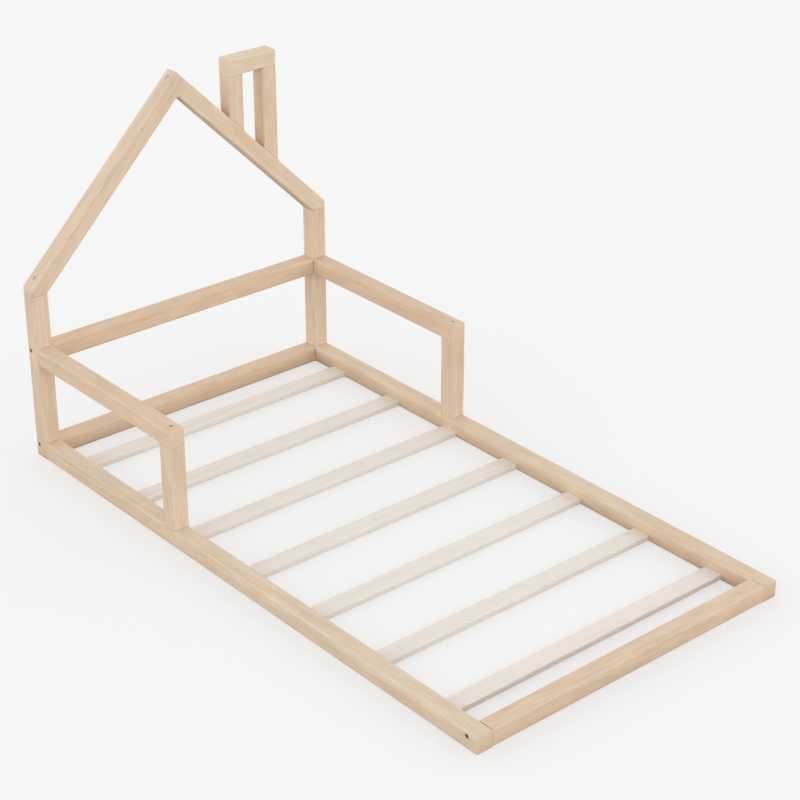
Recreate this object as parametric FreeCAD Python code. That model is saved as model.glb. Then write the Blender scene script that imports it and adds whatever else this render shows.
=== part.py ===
import FreeCAD, Part
import math
import os

# Square timber of the frame
beam = 54.0
edge_round = 7.0  # along the timber
end_chamfer = 2.0  # round the ends that stand free

# Lying space: a twin mattress with room to make the bed
mattress_length = 1905.0
mattress_width = 965.0
length_room = 5.0
width_room = 35.0

# Headboard: the gable of a house with a chimney on its right slope
post_height = 545.0
roof_pitch = 45.0
chimney_middle = 279.0  # from the middle of the bed
chimney_width = 182.0
chimney_drop = 3.5  # ridge to the top of the chimney

# Mid rail and guard rails, all at one height
guard_underside = 320.5
guard_length = 686.5

# Slats, let into the side rails from below
slat_count = 7
slat_width = 60.0
slat_thickness = 16.0
slat_chamfer = 1.5
slat_lift = 3.0  # floor to the underside of a slat
slat_end_gap = 97.0  # end of the lying space to the nearest slat
slat_clearance = 0.3
seat_web = 2.5  # wood between a slat's housing and the guard post's bolt

# Socket-head bolts
bolt_diameter = 8.0
bolt_clearance = 0.25
bolt_tip = 3.0  # bolt beyond its nut
head_diameter = 13.0
head_height = 8.0
head_clearance = 1.0
head_sink = 1.0  # face of the timber to the top of the head
socket_width = 6.0  # across the flats
socket_depth = 4.0

# Places of the bolts, from the middle of the timber's section
bolt_rise = 11.5  # bolts across the bed: up
bolt_setback = 10.0  # bolts across the bed: towards the headboard
bolt_drop = 9.0  # bolts along the bed: down

# Caps over the bolts at the eaves, whose holes come out on the slope
cap_rim = 3.0  # thinnest side of a cap
cap_clearance = 0.2
cap_sink = 0.5  # roof face to the face of the cap

# Barrel nuts
nut_diameter = 14.0
nut_length = 18.0
nut_setback = 35.0  # end of the timber to the middle of the nut
nut_clearance = 0.2
thread_clearance = 0.1

# Dowels
dowel_diameter = 8.0
dowel_length = 30.0
dowel_clearance = 0.1
dowel_setback = 15.0  # guard post: middle of the post to the dowel

# Flat-head screws
screw_diameter = 5.0
screw_head_diameter = 9.0
screw_head_height = 3.0
screw_clearance = 0.1
slat_screw_length = 28.0
chimney_screw_length = 72.0

# Sides of the small round hardware and of its holes
head_sides = 12
bolt_sides = 8
pin_sides = 6
socket_sides = 6

overrun = 20.0  # cuts beyond the face that they start from
touch = 0.01  # timbers this close count as touching
touch_shares = (0.1, 0.3, 0.5, 0.7, 0.9)  # places tried along an edge

# Sizes that follow
half = beam / 2
inner_length = mattress_length + length_room
inner_width = mattress_width + width_room
side_in = inner_width / 2
side_mid = side_in + half
side_out = side_in + beam
head_front = -inner_length / 2
head_mid = head_front - half
head_back = head_front - beam
foot_in = inner_length / 2
foot_mid = foot_in + half
foot_end = foot_in + beam
guard_top = guard_underside + beam
guard_end = head_front + guard_length
guard_mid = guard_end - half

pitch = math.radians(roof_pitch)
heel = beam * (1 / math.cos(pitch) - math.tan(pitch))
ridge = post_height + heel + side_out * math.tan(pitch)
ridge_cut = beam / (2 * math.sin(pitch))  # where the end of the left rafter meets its underside
chimney_top = ridge - chimney_drop
legs_top = chimney_top - beam
leg_middles = [chimney_middle - chimney_width / 2 + half, chimney_middle + chimney_width / 2 - half]

head_bore = head_diameter + 2 * head_clearance
slat_seat = half - head_bore / 2 - seat_web
slat_reach = side_in + slat_seat
slat_first = head_front + slat_end_gap + slat_width / 2
slat_pitch = -2 * slat_first / (slat_count - 1)
slat_middles = [slat_first + slat_pitch * place for place in range(slat_count)]

point = FreeCAD.Vector
up = point(0, 0, 1)
down = point(0, 0, -1)
back = point(-1, 0, 0)
front = point(1, 0, 0)
left_roof_inward = point(0, math.sin(pitch), -math.cos(pitch))
right_roof_outward = point(0, math.sin(pitch), math.cos(pitch))
right_underside_outward = point(0, -math.sin(pitch), -math.cos(pitch))
sides = {"left": -1, "right": 1}


def roof(across):
    return ridge - abs(across) * math.tan(pitch)


def block(low_x, high_x, low_y, high_y, low_z, high_z):
    return Part.makeBox(high_x - low_x, high_y - low_y, high_z - low_z, point(low_x, low_y, low_z))


def gable_piece(outline):
    """A timber of the gable, as thick as the posts, from its outline as (across, height) pairs."""
    corners = [point(head_back, across, height) for across, height in outline]
    return Part.Face(Part.makePolygon(corners + corners[:1])).extrude(front * beam)


def rod(diameter, sides, length, start, direction):
    """A straight rod with flat sides, whose corners lie on the diameter."""
    turns = [2 * math.pi * side / sides for side in range(sides + 1)]
    corners = [point(math.cos(turn), math.sin(turn), 0) * (diameter / 2) for turn in turns]
    shape = Part.Face(Part.makePolygon(corners)).extrude(up * length)
    shape.Placement = FreeCAD.Placement(start, FreeCAD.Rotation(up, direction))
    return shape


# Timbers, still with sharp edges and without holes
def headboard_post(side):
    middle = side * side_mid
    return block(head_back, head_front, middle - half, middle + half, 0, post_height)


def headboard_rail(underside):
    return block(head_back, head_front, -side_in, side_in, underside, underside + beam)


def rafter_left():
    """Runs through to the ridge, where its end lies in the plane of the right roof face."""
    return gable_piece([
        (-side_out, post_height),
        (-side_in, post_height),
        (ridge_cut, roof(ridge_cut)),
        (0, ridge),
        (-side_out, post_height + heel),
    ])


def rafter_right():
    """Butts against the underside of the left rafter."""
    return gable_piece([
        (side_out, post_height),
        (side_in, post_height),
        (0, post_height + side_in * math.tan(pitch)),
        (ridge_cut, roof(ridge_cut)),
        (side_out, post_height + heel),
    ])


def chimney_leg(middle):
    """Stands on the right slope with its foot cut to the pitch."""
    inner = middle - half
    outer = middle + half
    return gable_piece([
        (inner, roof(inner)),
        (outer, roof(outer)),
        (outer, legs_top),
        (inner, legs_top),
    ])


def chimney_cap():
    """Lies across both legs, its top a little below the ridge."""
    inner = chimney_middle - chimney_width / 2
    return block(head_back, head_front, inner, inner + chimney_width, legs_top, chimney_top)


def side_rail(side):
    middle = side * side_mid
    return block(head_front, foot_end, middle - half, middle + half, 0, beam)


def foot_rail():
    return block(foot_in, foot_end, -side_in, side_in, 0, beam)


def guard_rail(side):
    middle = side * side_mid
    return block(head_front, guard_end, middle - half, middle + half, guard_underside, guard_top)


def guard_post(side):
    middle = side * side_mid
    return block(guard_end - beam, guard_end, middle - half, middle + half, beam, guard_underside)


def slat(middle):
    """A flat board with chamfered long edges and square ends."""
    low = middle - slat_width / 2
    board = block(low, low + slat_width, -slat_reach, slat_reach, slat_lift, slat_lift + slat_thickness)
    long_edges = [edge for edge in board.Edges if edge.BoundBox.YLength > slat_reach]
    return board.makeChamfer(slat_chamfer, long_edges)


# Finish of the timbers
def lies_on(edge, neighbours):
    """Whether the whole edge lies on neighbouring timbers."""
    first = edge.FirstParameter
    span = edge.LastParameter - first
    places = [edge.valueAt(first + span * share) for share in touch_shares]
    return all(any(timber.isInside(place, touch, True) for timber in neighbours) for place in places)


def is_end(face):
    """Whether the face is an end of a timber, other than a foot on the floor."""
    return face.Surface.isPlanar() and face.Area < beam * beam and face.CenterOfMass.z > touch


def eased(timber, neighbours):
    """The timber with rounded long edges and chamfered free ends; the ends in a joint stay sharp."""
    long_edges = [edge for edge in timber.Edges if edge.Length > beam + touch]
    timber = timber.makeFillet(edge_round, [edge for edge in long_edges if not lies_on(edge, neighbours)])
    ends = [face for face in timber.Faces if is_end(face)]
    end_edges = [edge for face in ends for edge in face.Edges if not lies_on(edge, neighbours)]
    return timber.makeChamfer(end_chamfer, end_edges) if end_edges else timber


def housed(rail):
    """A side rail with a housing, open below, for the end of each slat."""
    reach = slat_reach + slat_clearance
    room = slat_width / 2 + slat_clearance
    top = slat_lift + slat_thickness + slat_clearance
    for middle in slat_middles:
        rail = rail.cut(block(middle - room, middle + room, -reach, reach, -overrun, top))
    return rail


def bored(timber, cuts):
    for cut in cuts:
        if timber.BoundBox.intersect(cut.BoundBox):
            timber = timber.cut(cut)
    return timber


# Fasteners
def bolt_joint(mouth, inward, grip, sink, nut_side, nut_depth):
    """A bolt, its barrel nut and their holes.

    The bolt enters at the mouth, passes through a timber as thick as the grip and screws into a nut
    in the next timber; the nut is put in from the nut side, where the face is nut_depth away.
    """
    reach = grip + nut_setback + nut_diameter / 2 + bolt_tip
    floor = sink + head_height
    head = rod(head_diameter, head_sides, head_height, mouth + inward * sink, inward)
    shank = rod(bolt_diameter, bolt_sides, reach - floor, mouth + inward * floor, inward)
    socket_corners = socket_width / math.cos(math.pi / socket_sides)
    socket = rod(socket_corners, socket_sides, socket_depth, mouth + inward * sink, inward)

    nut_middle = mouth + inward * (grip + nut_setback)
    nut_end = nut_middle - nut_side * (nut_length / 2)
    barrel = rod(nut_diameter, bolt_sides, nut_length, nut_end, nut_side)
    thread_start = nut_middle - inward * nut_diameter
    thread = rod(bolt_diameter + 2 * thread_clearance, bolt_sides, 2 * nut_diameter, thread_start, inward)

    bore = rod(head_bore, head_sides, overrun + floor, mouth - inward * overrun, inward)
    hole = rod(bolt_diameter + 2 * bolt_clearance, bolt_sides, reach + bolt_clearance, mouth, inward)
    nut_hole_start = nut_end - nut_side * nut_clearance
    nut_hole_depth = nut_clearance + nut_length / 2 + nut_depth + overrun
    nut_hole = rod(nut_diameter + 2 * nut_clearance, bolt_sides, nut_hole_depth, nut_hole_start, nut_side)
    bolt = head.fuse(shank).cut(socket)
    return {"bolt": bolt, "nut": barrel.cut(thread), "cuts": [bore, hole, nut_hole]}


def dowel_joint(middle, direction):
    """A dowel across the seam of two timbers, and its hole."""
    dowel = rod(dowel_diameter, pin_sides, dowel_length, middle - direction * (dowel_length / 2), direction)
    depth = dowel_length + 2 * dowel_clearance
    width = dowel_diameter + 2 * dowel_clearance
    hole = rod(width, pin_sides, depth, middle - direction * (depth / 2), direction)
    return {"dowel": dowel, "cuts": [hole]}


def screw_joint(head_top, inward, length):
    """A screw with a sunk flat head, and its hole."""
    neck = head_top + inward * screw_head_height
    head = rod(screw_head_diameter, pin_sides, screw_head_height, head_top, inward)
    shank = rod(screw_diameter, pin_sides, length - screw_head_height, neck, inward)
    bore_width = screw_head_diameter + 2 * screw_clearance
    bore = rod(bore_width, pin_sides, overrun + screw_head_height, head_top - inward * overrun, inward)
    hole_width = screw_diameter + 2 * screw_clearance
    hole = rod(hole_width, pin_sides, length + screw_clearance, head_top, inward)
    return {"screw": head.fuse(shank), "cuts": [bore, hole]}


# Joints of the bed
def crosswise_bolt(middle, underside, side):
    """Through a post or side rail into the end of a rail across the bed; nut from below."""
    height = underside + half + bolt_rise
    mouth = point(middle - bolt_setback, side * side_out, height)
    return bolt_joint(mouth, point(0, -side, 0), beam, head_sink, down, height - underside)


def crosswise_dowel(middle, underside, side):
    height = underside + half - bolt_rise
    return dowel_joint(point(middle + bolt_setback, side * side_in, height), point(0, side, 0))


def lengthwise_bolt(underside, side):
    """Through a post into the head end of a side rail or guard rail; nut from below."""
    height = underside + half - bolt_drop
    mouth = point(head_back, side * side_mid, height)
    return bolt_joint(mouth, front, beam, head_sink, down, height - underside)


def lengthwise_dowel(underside, side):
    height = underside + half + bolt_drop
    return dowel_joint(point(head_front, side * side_mid, height), front)


def eave_bolt(side):
    """Straight down through the heel of a rafter into its post; nut from the back, cap on the slope."""
    mouth = point(head_mid, side * side_mid, roof(side_mid))
    face_depth = cap_sink / math.cos(pitch)
    foot_depth = face_depth + head_bore / 2 * math.tan(pitch) + cap_rim
    joint = bolt_joint(mouth, down, mouth.z - post_height, foot_depth + cap_clearance, back, half)
    plug = rod(head_bore - 2 * cap_clearance, head_sides, foot_depth + overrun, mouth + down * foot_depth, up)
    heel_timber = rafter_left() if side < 0 else rafter_right()
    joint["cap"] = plug.common(heel_timber.translated(down * face_depth))
    return joint


def ridge_bolt():
    """Square to the left roof face, into the end of the right rafter; nut from its underside."""
    mouth = point(head_mid, 0, ridge) - point(0, math.cos(pitch), math.sin(pitch)) * half
    return bolt_joint(mouth, left_roof_inward, beam, head_sink, right_underside_outward, half)


def guard_top_bolt(side):
    mouth = point(guard_mid, side * side_mid, guard_top)
    return bolt_joint(mouth, down, beam, head_sink, back, half)


def guard_foot_bolt(side):
    mouth = point(guard_mid, side * side_mid, 0)
    return bolt_joint(mouth, up, beam, head_sink, back, half)


def guard_dowel(side):
    return dowel_joint(point(guard_mid + dowel_setback, side * side_mid, guard_underside), up)


def chimney_dowel(middle):
    return dowel_joint(point(head_mid, middle, legs_top), up)


def chimney_screw(middle):
    """From the underside of the rafter, square to the roof, into the foot of a leg."""
    foot = point(head_mid, middle, roof(middle))
    head_top = foot - right_roof_outward * (beam - head_sink)
    return screw_joint(head_top, right_roof_outward, chimney_screw_length)


def slat_screw(middle, side):
    """From below through the end of a slat into the side rail."""
    return screw_joint(point(middle, side * (side_in + slat_seat / 2), slat_lift), up, slat_screw_length)


rail_places = [(head_mid, 0), (head_mid, guard_underside)]
foot_places = [(foot_mid, 0)]
cross_places = rail_places + foot_places
long_heights = [0, guard_underside]
both = list(sides.values())

headboard_bolts = [crosswise_bolt(middle, low, side) for middle, low in rail_places for side in both]
foot_bolts = [crosswise_bolt(middle, low, side) for middle, low in foot_places for side in both]
long_bolts = [lengthwise_bolt(low, side) for low in long_heights for side in both]
eave_bolts = [eave_bolt(side) for side in both]
ridge_bolts = [ridge_bolt()]
guard_top_bolts = [guard_top_bolt(side) for side in both]
guard_foot_bolts = [guard_foot_bolt(side) for side in both]
cross_dowels = [crosswise_dowel(middle, low, side) for middle, low in cross_places for side in both]
long_dowels = [lengthwise_dowel(low, side) for low in long_heights for side in both]
guard_dowels = [guard_dowel(side) for side in both]
chimney_dowels = [chimney_dowel(middle) for middle in leg_middles]
chimney_screws = [chimney_screw(middle) for middle in leg_middles]
slat_screws = [slat_screw(middle, side) for middle in slat_middles for side in both]

# Each group of equal fasteners: its joints and which piece of the joint it holds
fasteners = {
    "headboard_rail_bolts": (headboard_bolts, "bolt"),
    "headboard_rail_nuts": (headboard_bolts, "nut"),
    "foot_rail_bolts": (foot_bolts, "bolt"),
    "foot_rail_nuts": (foot_bolts, "nut"),
    "long_rail_bolts": (long_bolts, "bolt"),
    "long_rail_nuts": (long_bolts, "nut"),
    "eave_bolts": (eave_bolts, "bolt"),
    "eave_nuts": (eave_bolts, "nut"),
    "eave_caps": (eave_bolts, "cap"),
    "ridge_bolt": (ridge_bolts, "bolt"),
    "ridge_nut": (ridge_bolts, "nut"),
    "guard_top_bolts": (guard_top_bolts, "bolt"),
    "guard_foot_bolts": (guard_foot_bolts, "bolt"),
    "guard_post_nuts": (guard_top_bolts + guard_foot_bolts, "nut"),
    "rail_dowels": (cross_dowels + long_dowels, "dowel"),
    "guard_dowels": (guard_dowels, "dowel"),
    "chimney_dowels": (chimney_dowels, "dowel"),
    "chimney_screws": (chimney_screws, "screw"),
    "slat_screws": (slat_screws, "screw"),
}

timbers = {
    "headboard_bottom_rail": headboard_rail(0),
    "headboard_mid_rail": headboard_rail(guard_underside),
    "rafter_left": rafter_left(),
    "rafter_right": rafter_right(),
    "chimney_leg_inner": chimney_leg(leg_middles[0]),
    "chimney_leg_outer": chimney_leg(leg_middles[1]),
    "chimney_cap": chimney_cap(),
    "foot_rail": foot_rail(),
}
for side_name, side in sides.items():
    timbers["headboard_post_" + side_name] = headboard_post(side)
    timbers["side_rail_" + side_name] = side_rail(side)
    timbers["guard_rail_" + side_name] = guard_rail(side)
    timbers["guard_post_" + side_name] = guard_post(side)

cuts = []
for joints, piece in fasteners.values():
    if piece not in ("nut", "cap"):
        for joint in joints:
            cuts += joint["cuts"]

parts = {}
for name, timber in timbers.items():
    others = [other for other_name, other in timbers.items() if other_name != name]
    finished = eased(timber, others)
    if name.startswith("side_rail"):
        finished = housed(finished)
    parts[name] = bored(finished, cuts)
for place, middle in enumerate(slat_middles, 1):
    parts["slat_" + str(place)] = bored(slat(middle), cuts)
for name, (joints, piece) in fasteners.items():
    parts[name] = Part.makeCompound([joint[piece] for joint in joints])

os.makedirs("parts", exist_ok=True)
for name, shape in parts.items():
    shape.exportStep("parts/" + name + ".step")
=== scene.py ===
import math
import random

import bmesh
import bpy
from mathutils import Matrix, Vector


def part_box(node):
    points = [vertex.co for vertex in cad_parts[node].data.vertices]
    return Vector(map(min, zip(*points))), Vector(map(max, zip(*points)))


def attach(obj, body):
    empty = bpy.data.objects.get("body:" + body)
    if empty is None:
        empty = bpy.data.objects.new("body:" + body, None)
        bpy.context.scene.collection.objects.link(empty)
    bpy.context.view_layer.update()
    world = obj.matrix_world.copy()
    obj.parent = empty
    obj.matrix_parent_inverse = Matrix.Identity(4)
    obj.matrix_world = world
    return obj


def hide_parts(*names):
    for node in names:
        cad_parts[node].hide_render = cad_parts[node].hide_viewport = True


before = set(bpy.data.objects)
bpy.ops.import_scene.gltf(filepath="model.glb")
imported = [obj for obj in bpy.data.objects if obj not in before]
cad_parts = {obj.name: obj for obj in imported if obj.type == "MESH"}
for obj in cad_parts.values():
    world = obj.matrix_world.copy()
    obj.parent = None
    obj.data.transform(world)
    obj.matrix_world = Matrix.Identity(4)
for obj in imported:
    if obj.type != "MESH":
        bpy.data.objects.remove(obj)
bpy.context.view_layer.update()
scene = bpy.context.scene
print("frame loaded:", len(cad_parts), "nodes")

axisX, axisY, axisZ = Vector((1, 0, 0)), Vector((0, 1, 0)), Vector((0, 0, 1))
near = 1e-5  # points this close count as the same
mergeGap = near / 10  # corners this close become one
aligned = 0.9  # directions with a larger cosine count as the same


# small helpers
def camelName(node):
    first, *rest = node.split("_")
    return first + "".join(word.capitalize() for word in rest)


def solidsOf(node):
    # corner points of each separate solid of a CAD node, in a steady order
    bm = bmesh.new()
    bm.from_mesh(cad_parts[node].data)
    bmesh.ops.remove_doubles(bm, verts=bm.verts, dist=mergeGap)
    seen = set()
    solids = []
    for seed in bm.verts:
        if seed in seen:
            continue
        seen.add(seed)
        patch = [seed]
        for vert in patch:  # the patch grows while it is walked
            for edge in vert.link_edges:
                other = edge.other_vert(vert)
                if other not in seen:
                    seen.add(other)
                    patch.append(other)
        solids.append([vert.co.copy() for vert in patch])
    bm.free()
    return sorted(solids, key=lambda points: tuple(round(x, 4) for x in sum(points, Vector()) / len(points)))


def rodsOf(node, axis=None):
    # both ends of each bolt, nut, screw or dowel of a node, the wider end first
    rods = []
    for points in solidsOf(node):
        spans = [[p.dot(way) for p in points] for way in ([axis] if axis else rodAxes)]
        reach = max(spans, key=lambda span: max(span) - min(span))
        ends = []
        for limit in (max(reach), min(reach)):
            ring = [p for p, along in zip(points, reach) if abs(along - limit) < near]
            middle = sum(ring, Vector()) / len(ring)
            ends.append((round(max((p - middle).length for p in ring), 4), middle))
        ends.sort(key=lambda end: -end[0])
        rods.append((ends[0][1], ends[1][1]))
    return rods


def middleOf(edge):
    return (edge.verts[0].co + edge.verts[1].co) / 2


def runsAlong(edge, axis):
    return abs((edge.verts[0].co - edge.verts[1].co).normalized().dot(axis)) > aligned


def onPlane(edge, point, normal):
    return all(abs((vert.co - point).dot(normal)) < near for vert in edge.verts)


def divide(bm, point, normal, **cut):
    # draws new edges where a plane crosses the shape
    geometry = bm.verts[:] + bm.edges[:] + bm.faces[:]
    return bmesh.ops.bisect_plane(bm, geom=geometry, dist=mergeGap, plane_co=point, plane_no=normal, **cut)


def softEdges(bm, angle=32, runOutAngle=3):
    # smooth shading that breaks at real edges, and round the small triangles where a rounding runs out
    for face in bm.faces:
        face.smooth = True
    for edge in bm.edges:
        corners = {len(face.verts) for face in edge.link_faces}
        limit = runOutAngle if 3 in corners and len(corners) > 1 else angle
        edge.smooth = len(edge.link_faces) == 2 and edge.calc_face_angle() < math.radians(limit)


def shadeSoftly(piece):
    # merges doubles in a finished mesh, then sets its shading
    bm = bmesh.new()
    bm.from_mesh(piece.data)
    bmesh.ops.remove_doubles(bm, verts=bm.verts, dist=mergeGap)
    softEdges(bm)
    bm.to_mesh(piece.data)
    bm.free()


def newObject(name, bm):
    mesh = bpy.data.meshes.new(name)
    bm.to_mesh(mesh)
    bm.free()
    obj = bpy.data.objects.new(name, mesh)
    scene.collection.objects.link(obj)
    return obj


def addRod(bm, start, end, radius, sides):
    way = (end - start).normalized()
    place = Matrix.Translation((start + end) / 2) @ way.to_track_quat("Z", "Y").to_matrix().to_4x4()
    bmesh.ops.create_cone(bm, cap_ends=True, segments=sides, radius1=radius, radius2=radius,
                          depth=(end - start).length, matrix=place)


def addBox(bm, low, high):
    size = Matrix.Diagonal(high - low).to_4x4()
    bmesh.ops.create_cube(bm, size=1, matrix=Matrix.Translation((low + high) / 2) @ size)


def cutOut(obj, fillers):
    # takes each layer of cutters out of the object; cutters of one layer don't overlap
    for fill in fillers:
        bm = bmesh.new()
        fill(bm)
        if not bm.verts:
            bm.free()
            continue
        cutter = newObject("cutter", bm)
        step = obj.modifiers.new("cut", "BOOLEAN")
        step.object = cutter
        step.operation = "DIFFERENCE"
        step.solver = "EXACT"
        evaluated = obj.evaluated_get(bpy.context.evaluated_depsgraph_get())
        shape = bpy.data.meshes.new_from_object(evaluated)
        obj.modifiers.clear()
        old, obj.data = obj.data, shape
        bpy.data.meshes.remove(old)
        bpy.data.meshes.remove(cutter.data)
    obj.data.name = obj.name


def putInPlace(piece, node, material):
    piece.data.materials.clear()
    piece.data.materials.append(material)
    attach(piece, "root")
    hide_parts(node)


# materials
def put(tree, kind, inputs=None, **settings):
    made = tree.nodes.new(kind)
    for key, value in settings.items():
        setattr(made, key, value)
    for key, value in (inputs or {}).items():
        if isinstance(value, bpy.types.NodeSocket):
            tree.links.new(value, made.inputs[key])
        else:
            made.inputs[key].default_value = value
    return made


def math2(tree, operation, first, second=0.0):
    return put(tree, "ShaderNodeMath", {0: first, 1: second}, operation=operation).outputs[0]


def stretched(tree, vector, along, across):
    return put(tree, "ShaderNodeMapping", {"Vector": vector, "Scale": (along, across, across)}).outputs[0]


def noise(tree, vector, scale, detail, rough, output="Fac"):
    inputs = {"Vector": vector, "Scale": scale, "Detail": detail, "Roughness": rough}
    return put(tree, "ShaderNodeTexNoise", inputs).outputs[output]


def between(tree, value, low, high, toLow=0.0, toHigh=1.0):
    inputs = {"Value": value, "From Min": low, "From Max": high, "To Min": toLow, "To Max": toHigh}
    return put(tree, "ShaderNodeMapRange", inputs, clamp=True).outputs[0]


def mixColour(tree, share, first, second, blend="MIX"):
    made = put(tree, "ShaderNodeMix", {0: share, 6: first, 7: second}, data_type="RGBA", blend_type=blend)
    return made.outputs[2]


def newMaterial(name):
    material = bpy.data.materials.new(name)
    material.use_nodes = True
    tree = material.node_tree
    tree.nodes.clear()
    shader = put(tree, "ShaderNodeBsdfPrincipled")
    out = put(tree, "ShaderNodeOutputMaterial")
    tree.links.new(shader.outputs[0], out.inputs["Surface"])
    return material, tree, shader


# repeats per metre along and across the grain, then detail and roughness of the noise
grainNoise = {
    "wind": (5, 7, 2, 0.5), "wander": (1.6, 9, 3, 0.5), "patches": (1.2, 22, 2, 0.5),
    "bands": (0.9, 60, 2, 0.6), "blush": (6, 28, 3, 0.5), "streaks": (6, 190, 2, 0.5),
    "pale": (4.5, 130, 2, 0.5), "cloud": (8, 26, 3, 0.5), "fibre": (14, 900, 3, 0.7),
    "rays": (90, 1000, 1, 0.5),
}
# where a pattern begins to show and where it shows in full
grainShown = {
    "ringRise": (0.35, 0.92), "ringFall": (1.0, 0.93), "patches": (0.35, 0.7), "bands": (0.36, 0.66),
    "blush": (0.40, 0.70), "streaks": (0.50, 0.74), "pale": (0.54, 0.76), "cloud": (0.3, 0.7),
    "fibre": (0.25, 0.75), "rays": (0.60, 0.74), "worn": (0.2, 0.8), "endGrain": (0.55, 0.95),
}
woodFinish = {"roughSpread": 0.06, "endRough": 0.12, "lineDepth": 0.5, "relief": 0.0004, "specular": 0.18}


def woodMaterial(name, look):
    # solid wood: rings about a pith, streaks, fibres and rays all run along the piece's own grain
    material, tree, shader = newMaterial(name)

    def pattern(kind, vector, output="Fac"):
        lengthways, sideways, detail, rough = grainNoise[kind]
        return noise(tree, stretched(tree, vector, lengthways, sideways), 1.0, detail, rough, output)

    def shown(kind, value, *limits):
        return between(tree, value, *grainShown[kind], *limits)

    def times(first, second):
        return math2(tree, "MULTIPLY", first, second)

    grain = put(tree, "ShaderNodeAttribute", attribute_name="grain").outputs["Vector"]
    along = put(tree, "ShaderNodeAttribute", attribute_name="along").outputs["Vector"]
    tone = put(tree, "ShaderNodeAttribute", attribute_name="tone").outputs["Fac"]
    shade = put(tree, "ShaderNodeAttribute", attribute_name="shade").outputs["Fac"]

    # the grain winds a little from side to side
    sideways = {0: pattern("wind", grain, "Color"), 1: (0, look["wind"], look["wind"]), 2: grain}
    wound = put(tree, "ShaderNodeVectorMath", sideways, operation="MULTIPLY_ADD").outputs[0]
    parts = put(tree, "ShaderNodeSeparateXYZ", {0: wound}).outputs

    across = put(tree, "ShaderNodeCombineXYZ", {1: parts[1], 2: parts[2]}).outputs[0]
    radius = put(tree, "ShaderNodeVectorMath", {0: across}, operation="LENGTH").outputs["Value"]
    swept = math2(tree, "ADD", times(parts[0], look["taper"]), radius)
    swayed = math2(tree, "ADD", swept, times(pattern("wander", grain), look["sway"]))
    ring = math2(tree, "FRACT", math2(tree, "DIVIDE", swayed, look["ring"]))
    lateWood = times(shown("ringRise", ring), shown("ringFall", ring))
    lines = times(lateWood, shown("patches", pattern("patches", grain)))

    bands = shown("bands", pattern("bands", wound))
    blush = shown("blush", pattern("blush", grain))
    streaks = shown("streaks", pattern("streaks", wound))
    pale = shown("pale", pattern("pale", wound))
    rays = shown("rays", pattern("rays", wound))
    fibre = pattern("fibre", wound)

    colour = mixColour(tree, bands, look["light"], look["warm"])
    layers = ((blush, "blush", "pink"), (tone, "tone", "pink"), (pale, "pale", "light"),
              (streaks, "streak", "dark"), (lines, "line", "dark"), (rays, "ray", "dark"))
    for share, strength, tint in layers:
        colour = mixColour(tree, times(share, look[strength]), colour, look[tint])
    fibreTone = shown("fibre", fibre, 1 - look["fibre"], 1 + look["fibre"])
    clouds = shown("cloud", pattern("cloud", grain), 1 - look["cloud"], 1 + look["cloud"])
    fibreTone = times(fibreTone, clouds)
    # the shade attribute darkens the colour, warmer where darker, so the dark joints and the painted shade
    # look brown
    dirtAndShadeChannels = {channel: times(fibreTone, math2(tree, "POWER", shade, share))
             for channel, share in enumerate(look["dust"])}
    dirtAndShadeColour = put(tree, "ShaderNodeCombineColor", dirtAndShadeChannels).outputs[0]
    colour = mixColour(tree, 1.0, colour, dirtAndShadeColour, "MULTIPLY")

    # end grain takes the finish differently, and is duller
    normal = put(tree, "ShaderNodeNewGeometry").outputs["Normal"]
    facing = put(tree, "ShaderNodeVectorMath", {0: normal, 1: along}, operation="DOT_PRODUCT")
    endGrain = shown("endGrain", math2(tree, "ABSOLUTE", facing.outputs["Value"]))
    colour = mixColour(tree, times(endGrain, look["endGrain"]), colour, look["end"])
    endRings = times(endGrain, times(lateWood, look["endRing"]))
    colour = mixColour(tree, endRings, colour, look["dark"])

    tree.links.new(colour, shader.inputs["Base Color"])
    spread = woodFinish["roughSpread"]
    worn = math2(tree, "ADD", shown("worn", fibre, look["rough"] - spread, look["rough"] + spread),
                 times(endGrain, woodFinish["endRough"]))
    tree.links.new(worn, shader.inputs["Roughness"])
    relief = math2(tree, "SUBTRACT", fibre, times(lines, woodFinish["lineDepth"]))
    height = {"Strength": look["bump"], "Distance": woodFinish["relief"], "Height": relief}
    tree.links.new(put(tree, "ShaderNodeBump", height).outputs[0], shader.inputs["Normal"])
    shader.inputs["Specular IOR Level"].default_value = woodFinish["specular"]
    return material


frameTimberLook = {
    "light": (0.735, 0.626, 0.484, 1), "warm": (0.688, 0.546, 0.392, 1), "pink": (0.722, 0.524, 0.370, 1),
    "dark": (0.430, 0.275, 0.155, 1), "end": (0.770, 0.612, 0.446, 1), "ring": 0.0075, "sway": 0.012,
    "taper": 0.006, "wind": 0.016, "line": 0.18, "streak": 0.20, "pale": 0.5, "ray": 0.20, "fibre": 0.06,
    "cloud": 0.06, "blush": 0.7, "tone": 0.8, "endGrain": 0.5, "endRing": 0.24, "rough": 0.58, "bump": 0.22,
    "dust": (0.7, 1.0, 1.35),  # how strongly the shade attribute darkens red, green and blue, so dark joints and painted shade turn warmer
}
slatTimberLook = {
    "light": (0.862, 0.810, 0.750, 1), "warm": (0.828, 0.757, 0.678, 1), "pink": (0.844, 0.765, 0.695, 1),
    "dark": (0.585, 0.482, 0.380, 1), "end": (0.780, 0.700, 0.610, 1), "ring": 0.009, "sway": 0.015,
    "taper": 0.008, "wind": 0.012, "line": 0.14, "streak": 0.10, "pale": 0.4, "ray": 0.10, "fibre": 0.035,
    "cloud": 0.02, "blush": 0.4, "tone": 0.4, "endGrain": 0.5, "endRing": 0.2, "rough": 0.62, "bump": 0.3,
    "dust": (0.7, 1.0, 1.35),
}
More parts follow.
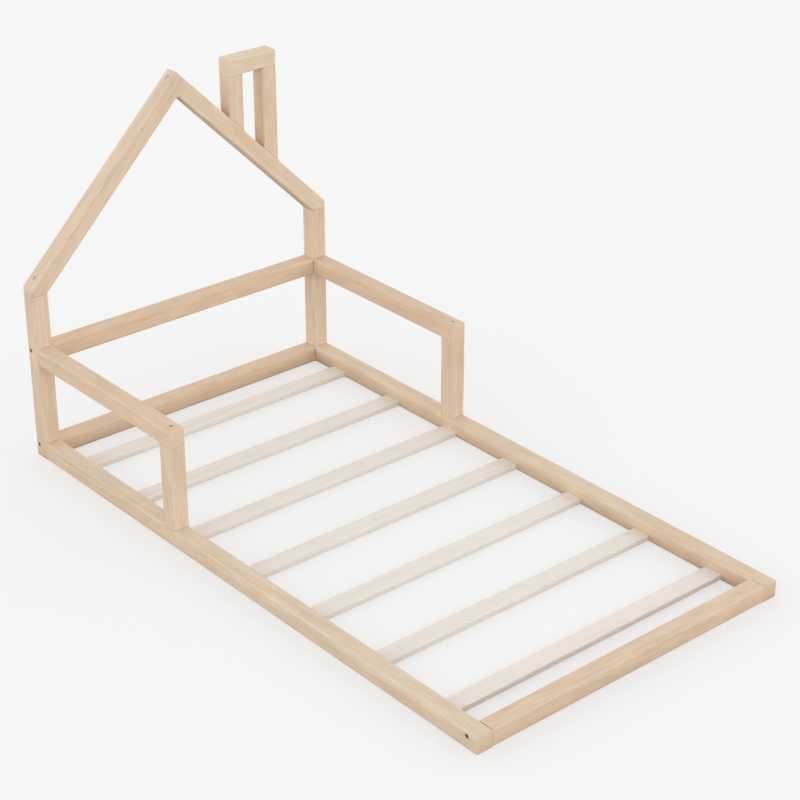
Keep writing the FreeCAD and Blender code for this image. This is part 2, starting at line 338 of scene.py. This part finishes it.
dowelTimberLook = {
    "light": (0.640, 0.480, 0.320, 1), "warm": (0.590, 0.420, 0.270, 1), "pink": (0.610, 0.420, 0.280, 1),
    "dark": (0.360, 0.230, 0.130, 1), "end": (0.500, 0.350, 0.220, 1), "ring": 0.004, "sway": 0.004,
    "taper": 0.006, "wind": 0.002, "line": 0.25, "streak": 0.2, "pale": 0.3, "ray": 0.5, "fibre": 0.06,
    "cloud": 0.05, "blush": 0.4, "tone": 0.4, "endGrain": 0.5, "endRing": 0.2, "rough": 0.6, "bump": 0.35,
    "dust": (0.7, 1.0, 1.35),
}
boltSteelLook = {
    "bright": (0.58, 0.585, 0.60, 1), "dull": (0.42, 0.425, 0.44, 1), "rough": 0.36, "mottle": 420,
    "scratch": 2600,
}
capSteelLook = {
    "bright": (0.36, 0.37, 0.40, 1), "dull": (0.25, 0.26, 0.285, 1), "rough": 0.42, "mottle": 420,
    "scratch": 2600,
}
# detail and roughness of the noise, where it begins to show and shows in full, and how it changes the gloss
plateMarks = {"mottle": (3, 0.6), "mottleShown": (0.35, 0.7), "scratch": (2, 0.7), "scratchShown": (0.2, 0.8),
              "smoother": 0.1, "rougher": 0.12, "bump": 0.15, "relief": 0.0001}


def steelMaterial(name, look):
    # zinc plate, mottled, with fine turning marks
    material, tree, shader = newMaterial(name)
    marks = plateMarks
    place = put(tree, "ShaderNodeTexCoord").outputs["Object"]
    mottle = between(tree, noise(tree, place, look["mottle"], *marks["mottle"]), *marks["mottleShown"])
    scratch = noise(tree, place, look["scratch"], *marks["scratch"])
    tree.links.new(mixColour(tree, mottle, look["bright"], look["dull"]), shader.inputs["Base Color"])
    rough = between(tree, scratch, *marks["scratchShown"], look["rough"] - marks["smoother"],
                    look["rough"] + marks["rougher"])
    tree.links.new(rough, shader.inputs["Roughness"])
    height = {"Strength": marks["bump"], "Distance": marks["relief"], "Height": scratch}
    tree.links.new(put(tree, "ShaderNodeBump", height).outputs[0], shader.inputs["Normal"])
    shader.inputs["Metallic"].default_value = 1.0
    return material


frameTimber = woodMaterial("frameTimber", frameTimberLook)
slatTimber = woodMaterial("slatTimber", slatTimberLook)
dowelTimber = woodMaterial("dowelTimber", dowelTimberLook)
boltSteel = steelMaterial("boltSteel", boltSteelLook)
capSteel = steelMaterial("capSteel", capSteelLook)
print("materials made")

# main lines of the bed, read from the frame
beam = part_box("foot_rail")[1].z
postLow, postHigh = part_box("headboard_post_left")
headMiddle = (postLow.x + postHigh.x) / 2
postTop = postHigh.z
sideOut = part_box("headboard_post_right")[1].y
pitch = math.radians(45)
ridge = postTop + beam * (1 / math.cos(pitch) - math.tan(pitch)) + sideOut * math.tan(pitch)
ridgeLine = Vector((0, 0, ridge))
sideWays = {"left": -1, "right": 1}
roofOut = {side: Vector((0, way * math.sin(pitch), math.cos(pitch))) for side, way in sideWays.items()}
roofDown = {side: Vector((0, way * math.cos(pitch), -math.sin(pitch))) for side, way in sideWays.items()}
rodAxes = [axisX, axisY, axisZ, roofOut["left"], roofOut["right"]]


# holes for the fasteners, as layers of rods that don't overlap within a layer
fit = {"bore": 0.0075, "boreFloor": 0.008, "shank": 0.00425, "nut": 0.0072, "dowel": 0.0041, "screw": 0.0026,
       "screwHead": 0.0046, "screwHeadHeight": 0.003, "overrun": 0.03, "lid": 0.001, "gap": 0.0002,
       "sides": 40}
nutSides = {
    "headboard_rail_nuts": -axisZ, "foot_rail_nuts": -axisZ, "long_rail_nuts": -axisZ,
    "eave_nuts": -axisX, "guard_post_nuts": -axisX, "ridge_nut": -roofOut["right"],
}
boltNodes = ["headboard_rail_bolts", "foot_rail_bolts", "long_rail_bolts", "eave_bolts", "ridge_bolt",
             "guard_top_bolts", "guard_foot_bolts"]
dowelNodes = ["rail_dowels", "guard_dowels", "chimney_dowels"]
screwNodes = ["chimney_screws", "slat_screws"]
rodNodes = boltNodes + list(nutSides) + dowelNodes + screwNodes
rods = {node: rodsOf(node, nutSides.get(node)) for node in rodNodes}

boreRods, shankRods, nutRods, dowelRods, screwRods, screwBores = [], [], [], [], [], []
for node in boltNodes:
    for head, tip in rods[node]:
        inward = (tip - head).normalized()
        above = fit["lid" if node == "eave_bolts" else "overrun"]  # a cap closes the wood over the eave bolts
        boreRods.append((head - inward * above, head + inward * fit["boreFloor"], fit["bore"]))
        shankRods.append((head, tip + inward * fit["gap"], fit["shank"]))
for node, mouthWay in nutSides.items():
    for mouth, end in rods[node]:
        nutRods.append((mouth + mouthWay * fit["overrun"], end - mouthWay * fit["gap"], fit["nut"]))
for node in dowelNodes:
    for first, last in rods[node]:
        way = (last - first).normalized() * fit["gap"]
        dowelRods.append((first - way, last + way, fit["dowel"]))
for node in screwNodes:
    for head, tip in rods[node]:
        inward = (tip - head).normalized()
        screwRods.append((head, tip + inward * fit["gap"], fit["screw"]))
        sunk = head + inward * fit["screwHeadHeight"]
        screwBores.append((head - inward * fit["overrun"], sunk, fit["screwHead"]))

# round caps over the eave bolts, let into the slope
capShape = {"radius": 0.0065, "depth": 0.0014, "sunk": 0.0003, "rim": 0.0005, "rimSteps": 3, "sides": 48}
capSeats, capRods = {}, []
capFromRidge = sideOut - beam / 2
for side, way in sideWays.items():
    onSlope = Vector((headMiddle, way * capFromRidge, ridge - capFromRidge * math.tan(pitch)))
    under = onSlope - roofOut[side] * capShape["depth"]
    capSeats[side] = under, onSlope - roofOut[side] * capShape["sunk"]
    capRods.append((under, onSlope + roofOut[side] * fit["overrun"], capShape["radius"] + fit["gap"]))
holeLayers = [boreRods, shankRods, nutRods, dowelRods, screwRods, screwBores, capRods]


def rodFiller(layer, low, high):
    # the rods of a layer that reach into a box
    def fill(bm):
        for start, end, radius in layer:
            lowest = Vector(map(min, start, end)) - Vector((radius,) * 3)
            highest = Vector(map(max, start, end)) + Vector((radius,) * 3)
            if all(highest[i] > low[i] and lowest[i] < high[i] for i in range(3)):
                addRod(bm, start, end, radius, fit["sides"])
    return fill


# square timbers
timberCut = {"edgeRound": 0.007, "edgeSteps": 7, "endRound": 0.002, "endSteps": 4, "seam": 0.0014,
             "seamSteps": 3, "flat": 0.1}
grainWays = {"X": axisX, "Y": axisY, "Z": axisZ}
# grain direction, then how the low and the high end meet what is there
boxTimbers = {
    "headboard_post_left": ("Z", "free", "butt"), "headboard_post_right": ("Z", "free", "butt"),
    "headboard_bottom_rail": ("Y", "butt", "butt"), "headboard_mid_rail": ("Y", "butt", "butt"),
    "side_rail_left": ("X", "butt", "free"), "side_rail_right": ("X", "butt", "free"),
    "foot_rail": ("Y", "butt", "butt"), "chimney_cap": ("Y", "round", "round"),
    "guard_rail_left": ("X", "butt", "round"), "guard_rail_right": ("X", "butt", "round"),
    "guard_post_left": ("Z", "butt", "butt"), "guard_post_right": ("Z", "butt", "butt"),
    "chimney_leg_inner": ("Z", "butt", "butt"), "chimney_leg_outer": ("Z", "butt", "butt"),
}
# how far the pith lies from the middle of the timber, along its two cross directions
pithPlaces = {
    "side_rail_left": (0.16, 0.03), "side_rail_right": (-0.15, 0.02), "foot_rail": (0.03, -0.14),
    "guard_rail_left": (0.15, 0.02), "guard_rail_right": (-0.16, 0.03), "chimney_cap": (0.15, 0.02),
}
# the rounding of these runs on past a flush neighbour and leaves a groove
runsPast = [("side_rail_left", "foot_rail"), ("side_rail_right", "foot_rail")]
# how pink and how light a timber is; the lightness is partly the wood's own tone and partly painted light and
# shade: the lower rails darker, the upper pieces lighter, and slat_7 lighter to lift its shaded front edge
tonesAndPaintedLight = {
    "headboard_post_left": (0.3, 0.99), "headboard_post_right": (0.2, 0.99),
    "headboard_bottom_rail": (0.8, 0.98), "headboard_mid_rail": (0.75, 0.955),
    "rafter_left": (0.0, 1.01), "rafter_right": (0.15, 1.02), "chimney_cap": (0.0, 1.06),
    "chimney_leg_inner": (0.0, 1.02), "chimney_leg_outer": (0.0, 1.02),
    "side_rail_left": (0.0, 1.03), "side_rail_right": (0.15, 1.015), "foot_rail": (0.6, 1.02),
    "guard_rail_left": (0.55, 0.995), "guard_rail_right": (0.85, 0.965),
    "guard_post_left": (0.1, 1.0), "guard_post_right": (0.3, 0.99), "slat_7": (0.7, 1.02),
}
# what is drawn by lot: how far off the pith lies, where along the tree the timber grew, run-out of the grain
lot = {"seed": 7, "pith": (0.05, 0.13), "start": 30, "runOut": 0.035}
draw = random.Random(lot["seed"])


def trim(bm, point, outward):
    # saws off what lies outside the plane and closes the cut
    sawn = divide(bm, point, outward, clear_outer=True)
    rim = [part for part in sawn["geom_cut"] if isinstance(part, bmesh.types.BMEdge)]
    bmesh.ops.edgeloop_fill(bm, edges=rim)


def easeEdges(bm, edges, offset, steps):
    if edges:
        bmesh.ops.bevel(bm, geom=edges, offset=offset, offset_type="OFFSET", segments=steps, profile=0.5,
                        affect="EDGES", clamp_overlap=True, material=-1)


def isBent(edge):
    return len(edge.link_faces) == 2 and edge.calc_face_angle() > timberCut["flat"]


def touches(point, others):
    room = Vector((near * 10,) * 3)
    boxes = [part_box(other) for other in others]
    return any(all(low[i] - room[i] < point[i] < high[i] + room[i] for i in range(3)) for low, high in boxes)


def markStops(bm, along, others):
    # divides the long edges where neighbours lie flush against them, and the rounding runs out from there
    for other in others:
        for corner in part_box(other):
            divide(bm, along * corner.dot(along), along)


def roundLong(bm, ends, others=(), sharp=()):
    # ends: (point, outward, kind); the long edges are all those that lie on no end and on no neighbour
    def onEnds(edge):
        return any(onPlane(edge, point, outward) for point, outward, kind in ends if kind != "round")

    longEdges = [edge for edge in bm.edges if isBent(edge) and edge not in sharp and not onEnds(edge)
                 and not touches(middleOf(edge), others)]
    easeEdges(bm, longEdges, timberCut["edgeRound"], timberCut["edgeSteps"])


def easeEnds(bm, ends):
    for kind, size, steps in (("free", "endRound", "endSteps"), ("butt", "seam", "seamSteps")):
        planes = [(point, outward) for point, outward, endKind in ends if endKind == kind]
        rim = [edge for edge in bm.edges if any(onPlane(edge, *plane) for plane in planes) and isBent(edge)]
        easeEdges(bm, rim, timberCut[size], timberCut[steps])
    twisted = [face for face in bm.faces if len(face.verts) > 4 and any(
        abs((vert.co - face.calc_center_median()).dot(face.normal)) > near for vert in face.verts)]
    bmesh.ops.triangulate(bm, faces=twisted)


# painted shade: faces darker towards the floor (low) and darker still at their bottom edges (foot); seams
# darker from finish in the joints and from painted contact shade
dirtAndPaintedShade = {"seam": 0.5, "seamReach": 0.0014, "low": 0.11, "lowReach": 0.047, "foot": 0.42, "footReach": 0.007}
# the right side rail gets more painted shade towards the floor, and the groove at the top of the foot rail's
# ends gets no seam darkening
dirtAndPaintedShadeShares = {"side_rail_right": {"low": 2.2}, "foot_rail": {"groove": 0}}  # where it is more or less


def shadeAt(point, planes, shares):
    # finish in the joints and painted contact shade darken the seams, and painted shade darkens the faces
    # towards the floor, most of all at their bottom edges
    def lost(part, away):
        return shares.get(part, 1) * dirtAndPaintedShade[part] * max(0, 1 - abs(away) / dirtAndPaintedShade[part + "Reach"])
    groove = shares.get("groove", 1) if point.z > beam - timberCut["edgeRound"] - near else 1
    seams = [groove * lost("seam", (point - place).dot(outward)) for place, outward in planes]
    return 1 - max(seams + [lost("low", point.z) + lost("foot", point.z)])


def markGrain(piece, along, pith=None, tones=None, planes=None, shares=None):
    # the piece's own wood: distance along the grain and both distances from the pith, in metres
    across = next(axis for axis in grainWays.values() if abs(axis.dot(along)) < aligned)
    second = (across - along * across.dot(along)).normalized()
    third = along.cross(second)
    points = [vert.co.copy() for vert in piece.data.vertices]
    middle = (Vector(map(min, *points)) + Vector(map(max, *points))) / 2
    turn, away = draw.uniform(0, 2 * math.pi), draw.uniform(*lot["pith"])
    start = draw.uniform(0, lot["start"])
    slopes = [draw.uniform(-lot["runOut"], lot["runOut"]) for way in (second, third)]
    pith = pith or (away * math.cos(turn), away * math.sin(turn))
    pink, shade = tones or (draw.uniform(0, 1), 1.0)
    # the shade attribute is the timber's own lightness times shadeAt: dirt in the joints and painted shade
    shades = [shade * (1 if planes is None else shadeAt(point, planes, shares)) for point in points]
    grain = []
    for point in points:
        offset = point - middle
        far = offset.dot(along)
        grain += [far + start, offset.dot(second) + pith[0] + far * slopes[0],
                  offset.dot(third) + pith[1] + far * slopes[1]]
    for name, kind, field, values in (("grain", "FLOAT_VECTOR", "vector", grain),
                                      ("along", "FLOAT_VECTOR", "vector", list(along) * len(points)),
                                      ("tone", "FLOAT", "value", [pink] * len(points)),
                                      ("shade", "FLOAT", "value", shades)):
        piece.data.attributes.new(name, kind, "POINT").data.foreach_set(field, values)


def finishTimber(node, bm, along, material=frameTimber, extraCuts=(), ends=()):
    low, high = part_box(node)
    seams = [(point, outward) for point, outward, kind in ends if kind == "butt"] if ends else None
    bmesh.ops.recalc_face_normals(bm, faces=bm.faces)
    piece = newObject(camelName(node), bm)
    cutOut(piece, list(extraCuts) + [rodFiller(layer, low, high) for layer in holeLayers])
    shadeSoftly(piece)
    markGrain(piece, along, pithPlaces.get(node), tonesAndPaintedLight.get(node), seams, dirtAndPaintedShadeShares.get(node, {}))
    weigh = piece.modifiers.new("evenNormals", "WEIGHTED_NORMAL")
    weigh.keep_sharp = True
    putInPlace(piece, node, material)


# housings for the slat ends, open below
slatCut = {"edgeRound": 0.0018, "steps": 3, "gap": 0.0003}
slatNodes = sorted(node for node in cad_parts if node.startswith("slat_") and node != "slat_screws")


def fillHousings(bm):
    for slat in slatNodes:
        low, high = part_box(slat)
        room = Vector((slatCut["gap"],) * 3)
        addBox(bm, low - room - axisZ * fit["overrun"], high + room)


def neighboursOf(node):
    # timbers whose box meets the box of this one along more than an edge
    low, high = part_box(node)
    found = []
    for other in boxTimbers:
        otherLow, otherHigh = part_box(other)
        shared = [min(high[i], otherHigh[i]) - max(low[i], otherLow[i]) for i in range(3)]
        if other != node and min(shared) > -near and sorted(shared)[1] > beam / 2:
            found.append(other)
    return found


chimneyLegs = ["chimney_leg_inner", "chimney_leg_outer"]
for node, (run, lowKind, highKind) in boxTimbers.items():
    low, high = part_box(node)
    along = grainWays[run]
    bm = bmesh.new()
    isLeg = node in chimneyLegs
    start = low - along * beam if isLeg else low  # a leg starts too long and is sawn to the slope
    addBox(bm, start, high)
    ends = [(start, -along, lowKind), (high, along, highKind)]
    others = [other for other in neighboursOf(node) if (node, other) not in runsPast]
    markStops(bm, along, others)
    if run == "Z" and low.z < near:  # keeps the painted shade near the floor low on the feet of the posts
        divide(bm, axisZ * dirtAndPaintedShade["footReach"], axisZ)
    roundLong(bm, ends, others)
    if isLeg:
        trim(bm, ridgeLine, -roofOut["right"])
        ends[0] = (ridgeLine, -roofOut["right"], "butt")
    easeEnds(bm, ends)
    housings = [fillHousings] if node.startswith("side_rail") else ()
    finishTimber(node, bm, along, extraCuts=housings, ends=ends)
print("square timbers made")


# rafters: a beam laid along the slope, then sawn at the heel and at the ridge
for side, way in sideWays.items():
    node = "rafter_" + side
    down, out = roofDown[side], roofOut[side]
    bm = bmesh.new()
    turn = Matrix((axisX, down, out)).transposed().to_4x4()
    centre = Vector((headMiddle, 0, ridge)) + down * sideOut / 2 / math.cos(pitch) - out * beam / 2
    size = Matrix.Diagonal((beam, 2 * sideOut, beam, 1))
    bmesh.ops.create_cube(bm, size=1, matrix=Matrix.Translation(centre) @ turn @ size)
    heel = Vector((0, way * sideOut, postTop))
    trim(bm, heel, -axisZ)
    trim(bm, heel, axisY * way)
    # the left rafter runs through to the right roof face, and the right one stops under it
    ridgeCut = ridgeLine if side == "left" else ridgeLine - roofOut["left"] * beam
    ridgeOut = roofOut["right"] if side == "left" else roofOut["left"]
    trim(bm, ridgeCut, ridgeOut)
    ends = [(heel, -axisZ, "butt")]
    if side == "right":
        ends.append((ridgeCut, ridgeOut, "butt"))
    # where the rounding stops: at the chimney legs and, on the left rafter, under the end of the right one
    stops = [ridgeLine - ridgeOut * (beam + timberCut["edgeRound"])] if side == "left" else []
    for leg in chimneyLegs if side == "right" else ():
        low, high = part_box(leg)
        stops.append(ridgeLine + down * (low.y / math.cos(pitch) - timberCut["edgeRound"]))
        stops.append(ridgeLine + down * (high.y / math.cos(pitch) + timberCut["edgeRound"]))
    for place in stops:
        divide(bm, place, down)

    def crossEdges():
        return [edge for edge in bm.edges if runsAlong(edge, axisX)]

    def atEave(edge):  # the outer edge of the roof, well above the seat on the post
        return abs(abs(edge.verts[0].co.y) - sideOut) < near and edge.verts[0].co.z > postTop + beam / 4

    def underRidge(edge):
        below = onPlane(edge, ridgeLine - out * beam, out)
        return side == "left" and below and (middleOf(edge) - stops[0]).dot(down) < 0
    sharp = [edge for edge in crossEdges() if not atEave(edge)]
    sharp += [edge for edge in bm.edges if underRidge(edge)]
    roundLong(bm, ends, chimneyLegs if side == "right" else (), sharp)
    easeEnds(bm, ends)
    apex = [edge for edge in crossEdges() if isBent(edge) and edge.verts[0].co.z > ridge - near]
    easeEdges(bm, apex, timberCut["endRound"], timberCut["endSteps"])
    finishTimber(node, bm, down, ends=ends)
print("rafters made")

for node in slatNodes:
    low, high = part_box(node)
    bm = bmesh.new()
    addBox(bm, low, high)
    longEdges = [edge for edge in bm.edges if runsAlong(edge, axisY)]
    easeEdges(bm, longEdges, slatCut["edgeRound"], slatCut["steps"])
    finishTimber(node, bm, axisY, slatTimber)
print("slats made")


# fasteners
def standUp(bm, start, end):
    # from the origin, pointing down, to its place
    turn = (end - start).normalized().to_track_quat("-Z", "Y").to_matrix().to_4x4()
    bmesh.ops.transform(bm, matrix=Matrix.Translation(start) @ turn, verts=bm.verts)


def turned(bm, profile, sides):
    # a turned shape from (radius, height) pairs
    verts = [bm.verts.new((radius, 0, height)) for radius, height in profile]
    edges = [bm.edges.new(pair) for pair in zip(verts, verts[1:])]
    bmesh.ops.spin(bm, geom=verts + edges, cent=(0, 0, 0), axis=(0, 0, 1), angle=2 * math.pi, steps=sides,
                   use_merge=True)
    bmesh.ops.remove_doubles(bm, verts=bm.verts, dist=mergeGap)


boltShape = {"head": 0.0065, "height": 0.008, "rim": 0.0008, "rimBend": 0.3, "shank": 0.004, "tip": 0.0012,
             "socket": 0.006, "socketDepth": 0.004, "socketMouth": 0.0042, "socketPit": 0.0008, "sides": 48}


def makeBolt(bm, length):
    shape = boltShape
    turned(bm, [
        (shape["socketMouth"], 0),
        (shape["head"] - shape["rim"], 0),
        (shape["head"] - shape["rim"] * shape["rimBend"], -shape["rim"] * shape["rimBend"]),
        (shape["head"], -shape["rim"]),
        (shape["head"], -shape["height"]),
        (shape["shank"], -shape["height"]),
        (shape["shank"], shape["tip"] - length),
        (shape["shank"] - shape["tip"], -length),
        (0, -length),
    ], shape["sides"])
    mouth = [edge for edge in bm.edges if edge.is_boundary]
    corner = shape["socket"] / 2 / math.cos(math.pi / 6)
    hexagon = bmesh.ops.create_circle(bm, segments=6, radius=corner)["verts"]
    rim = [edge for edge in bm.edges if all(vert in hexagon for vert in edge.verts)]
    bmesh.ops.bridge_loops(bm, edges=mouth + rim)
    walls = bmesh.ops.extrude_edge_only(bm, edges=rim)["geom"]
    deep = [part for part in walls if isinstance(part, bmesh.types.BMVert)]
    bmesh.ops.translate(bm, verts=deep, vec=(0, 0, -shape["socketDepth"]))
    deepEdges = [edge for edge in bm.edges if all(vert in deep for vert in edge.verts)]
    base = bmesh.ops.edgeloop_fill(bm, edges=deepEdges)["faces"]
    pit = bmesh.ops.poke(bm, faces=base)["verts"]
    bmesh.ops.translate(bm, verts=pit, vec=(0, 0, -shape["socketPit"]))


nutShape = {"radius": 0.007, "rim": 0.0006, "thread": 0.0041, "slot": 0.0016, "slotReach": 0.0084,
            "slotDepth": 0.002, "sides": 40}


def makeNut(bm, length):
    shape = nutShape
    turned(bm, [
        (0, 0),
        (shape["radius"] - shape["rim"], 0),
        (shape["radius"], -shape["rim"]),
        (shape["radius"], shape["rim"] - length),
        (shape["radius"] - shape["rim"], -length),
        (0, -length),
    ], shape["sides"])


screwShape = {"head": 0.0045, "land": 0.0005, "neck": 0.0025, "height": 0.003, "tip": 0.006, "cross": 0.0011,
              "crossReach": 0.0026, "crossDepth": 0.0018, "sides": 28}


def makeScrew(bm, length):
    shape = screwShape
    turned(bm, [
        (0, 0),
        (shape["head"], 0),
        (shape["head"], -shape["land"]),
        (shape["neck"], -shape["height"]),
        (shape["neck"], shape["tip"] - length),
        (0, -length),
    ], shape["sides"])


dowelShape = {"radius": 0.004, "groove": 0.00035, "flutes": 18, "rim": 0.0012, "rimSteps": 2}


def makeDowel(bm, length):
    shape = dowelShape
    made = bmesh.ops.create_circle(bm, segments=2 * shape["flutes"], radius=shape["radius"], cap_ends=True)
    ring = made["verts"]
    for vert in ring[::2]:  # every other corner is the floor of a groove
        vert.co *= 1 - shape["groove"] / shape["radius"]
    body = bmesh.ops.extrude_face_region(bm, geom=bm.faces[:])["geom"]
    far = [part for part in body if isinstance(part, bmesh.types.BMVert)]
    bmesh.ops.translate(bm, verts=far, vec=(0, 0, -length))
    ends = [edge for edge in bm.edges if abs(edge.verts[0].co.z - edge.verts[1].co.z) < near]
    easeEdges(bm, ends, shape["rim"], shape["rimSteps"])


def slotFiller(places):
    def fill(bm):
        for start, end in places:
            cut = bmesh.new()
            wide = Vector((nutShape["slotReach"], nutShape["slot"] / 2, nutShape["slotDepth"]))
            addBox(cut, -wide, wide)
            standUp(cut, start, end)
            mergeInto(bm, cut)
    return fill


def threadFiller(bm):
    for start, end, radius in shankRods:
        addRod(bm, start, end, nutShape["thread"], nutShape["sides"])


def crossFiller(places, turn):
    def fill(bm):
        for start, end in places:
            cut = bmesh.new()
            wide = Vector((screwShape["crossReach"], screwShape["cross"] / 2, screwShape["crossDepth"]))
            addBox(cut, -wide, wide)
            bmesh.ops.rotate(cut, verts=cut.verts, cent=(0, 0, 0), matrix=Matrix.Rotation(turn, 3, "Z"))
            standUp(cut, start, end)
            mergeInto(bm, cut)
    return fill


def mergeInto(bm, other):
    # adds a finished bmesh to another
    mesh = bpy.data.meshes.new("passing")
    other.to_mesh(mesh)
    other.free()
    bm.from_mesh(mesh)
    bpy.data.meshes.remove(mesh)


def makeGroup(node, make, material, cuts=()):
    bm = bmesh.new()
    for start, end in rods[node]:
        one = bmesh.new()
        make(one, (end - start).length)
        bmesh.ops.recalc_face_normals(one, faces=one.faces)
        standUp(one, start, end)
        mergeInto(bm, one)
    piece = newObject(camelName(node), bm)
    cutOut(piece, cuts)
    shadeSoftly(piece)
    putInPlace(piece, node, material)
    return piece


for node in boltNodes:
    makeGroup(node, makeBolt, boltSteel)
for node in nutSides:
    makeGroup(node, makeNut, boltSteel, [slotFiller(rods[node]), threadFiller])
for node in screwNodes:
    cross = [crossFiller(rods[node], turn) for turn in (0, math.pi / 2)]
    makeGroup(node, makeScrew, boltSteel, cross)
for node in dowelNodes:
    piece = makeGroup(node, makeDowel, dowelTimber)
    first, last = rods[node][0]
    markGrain(piece, (last - first).normalized())

bm = bmesh.new()
for side, (under, top) in capSeats.items():
    cap = bmesh.new()
    addRod(cap, under, top, capShape["radius"], capShape["sides"])
    rim = [edge for edge in cap.edges if onPlane(edge, top, roofOut[side])]
    easeEdges(cap, rim, capShape["rim"], capShape["rimSteps"])
    bmesh.ops.recalc_face_normals(cap, faces=cap.faces)
    mergeInto(bm, cap)
softEdges(bm)
putInPlace(newObject("eaveCaps", bm), "eave_caps", capSteel)
print("fasteners made")

# floor, light and camera
studio = {"floor": (0.40, 0.40, 0.403, 1), "floorGlow": 0.532, "bounce": (0.485, 0.452, 0.410, 1),
          "horizon": 1.98, "below": 0.4, "reach": 150, "bounceDepth": 0.001, "rough": 0.9}


def makeGround(name, height, colour, glow):
    bm = bmesh.new()
    bmesh.ops.create_grid(bm, x_segments=1, y_segments=1, size=studio["reach"],
                          matrix=Matrix.Translation((0, 0, height)))
    ground = newObject(name, bm)
    paint, tree, shader = newMaterial(name + "Paint")
    shader.inputs["Base Color"].default_value = colour
    shader.inputs["Roughness"].default_value = studio["rough"]
    shader.inputs["Specular IOR Level"].default_value = 0.0
    shader.inputs["Emission Color"].default_value = (1, 1, 1, 1)
    shader.inputs["Emission Strength"].default_value = glow
    ground.data.materials.append(paint)
    return ground


# the floor that shows takes shadows, and a duller sheet under it throws the light back
shownFloor = makeGround("floor", 0, studio["floor"], studio["floorGlow"])
shownFloor.visible_diffuse = False
shownFloor.visible_glossy = False
shownFloor.visible_shadow = False
bounce = makeGround("bounceSheet", -studio["bounceDepth"], studio["bounce"], 0.0)
bounce.visible_camera = False

# soft light from all round, strongest near the horizon
world = bpy.data.worlds.new("studio")
world.use_nodes = True
scene.world = world
tree = world.node_tree
lookWay = put(tree, "ShaderNodeTexCoord").outputs["Generated"]
upwards = put(tree, "ShaderNodeSeparateXYZ", {0: lookWay}).outputs[2]
upper = between(tree, math2(tree, "MULTIPLY", upwards, upwards), 0, 1, studio["horizon"], 0.0)
isUp = math2(tree, "GREATER_THAN", upwards, 0.0)
strength = put(tree, "ShaderNodeMix", {0: isUp, 2: studio["below"], 3: upper}).outputs[0]
tree.links.new(strength, tree.nodes["Background"].inputs["Strength"])
tree.nodes["Background"].inputs["Color"].default_value = (1, 1, 1, 1)
scene.view_settings.view_transform = "Standard"

shot = {"azimuth": 49.563, "elevation": 27.306, "lens": 93.774, "sensor": 36,
        "place": (4.02347, -3.36865, 3.10474)}
camera = bpy.data.cameras.new("camera")
camera.lens = shot["lens"]
camera.sensor_width = shot["sensor"]
cameraHolder = bpy.data.objects.new("camera", camera)
turn, tilt = math.radians(shot["azimuth"]), math.radians(shot["elevation"])
toCamera = Vector((math.sin(turn) * math.cos(tilt), -math.cos(turn) * math.cos(tilt), math.sin(tilt)))
cameraHolder.location = shot["place"]
cameraHolder.rotation_mode = "QUATERNION"
cameraHolder.rotation_quaternion = (-toCamera).to_track_quat("-Z", "Y")
scene.collection.objects.link(cameraHolder)
scene.camera = cameraHolder
print("studio set")
